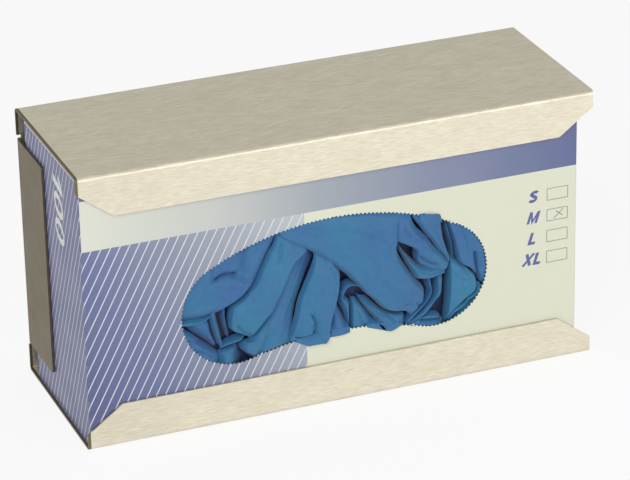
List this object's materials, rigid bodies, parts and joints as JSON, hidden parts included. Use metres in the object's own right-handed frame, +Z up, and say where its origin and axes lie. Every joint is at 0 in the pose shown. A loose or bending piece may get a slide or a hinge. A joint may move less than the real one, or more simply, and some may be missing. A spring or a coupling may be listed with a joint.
{
  "type": "disposable glove dispenser",
  "caption": "Folded steel wall holder with slanted front lips, holding a printed carton of blue disposable gloves that show through its kidney opening.",
  "frame": {"origin": "centre of the wall screws' pattern, on the back plate's rear face", "axes": "+Z up, +X to the right seen from the front, +Y into the wall"},
  "size_m": [0.25, 0.0914, 0.134],
  "materials": {
    "steel": "brushed along its length",
    "card": "printed, satin",
    "glove_film": "thin stretched film, satin"
  },
  "bodies": {
    "root": {"holder": "steel", "carton": "card", "glove_stack": "glove_film", "glove_large": "glove_film", "glove_flap": "glove_film", "glove_fingers": "glove_film", "glove_upper_right": "glove_film", "glove_lower_right": "glove_film", "glove_upper_left": "glove_film", "glove_narrow_folds": "glove_film", "glove_lower_middle": "glove_film", "glove_lower_left": "glove_film"}
  },
  "joints": []
}
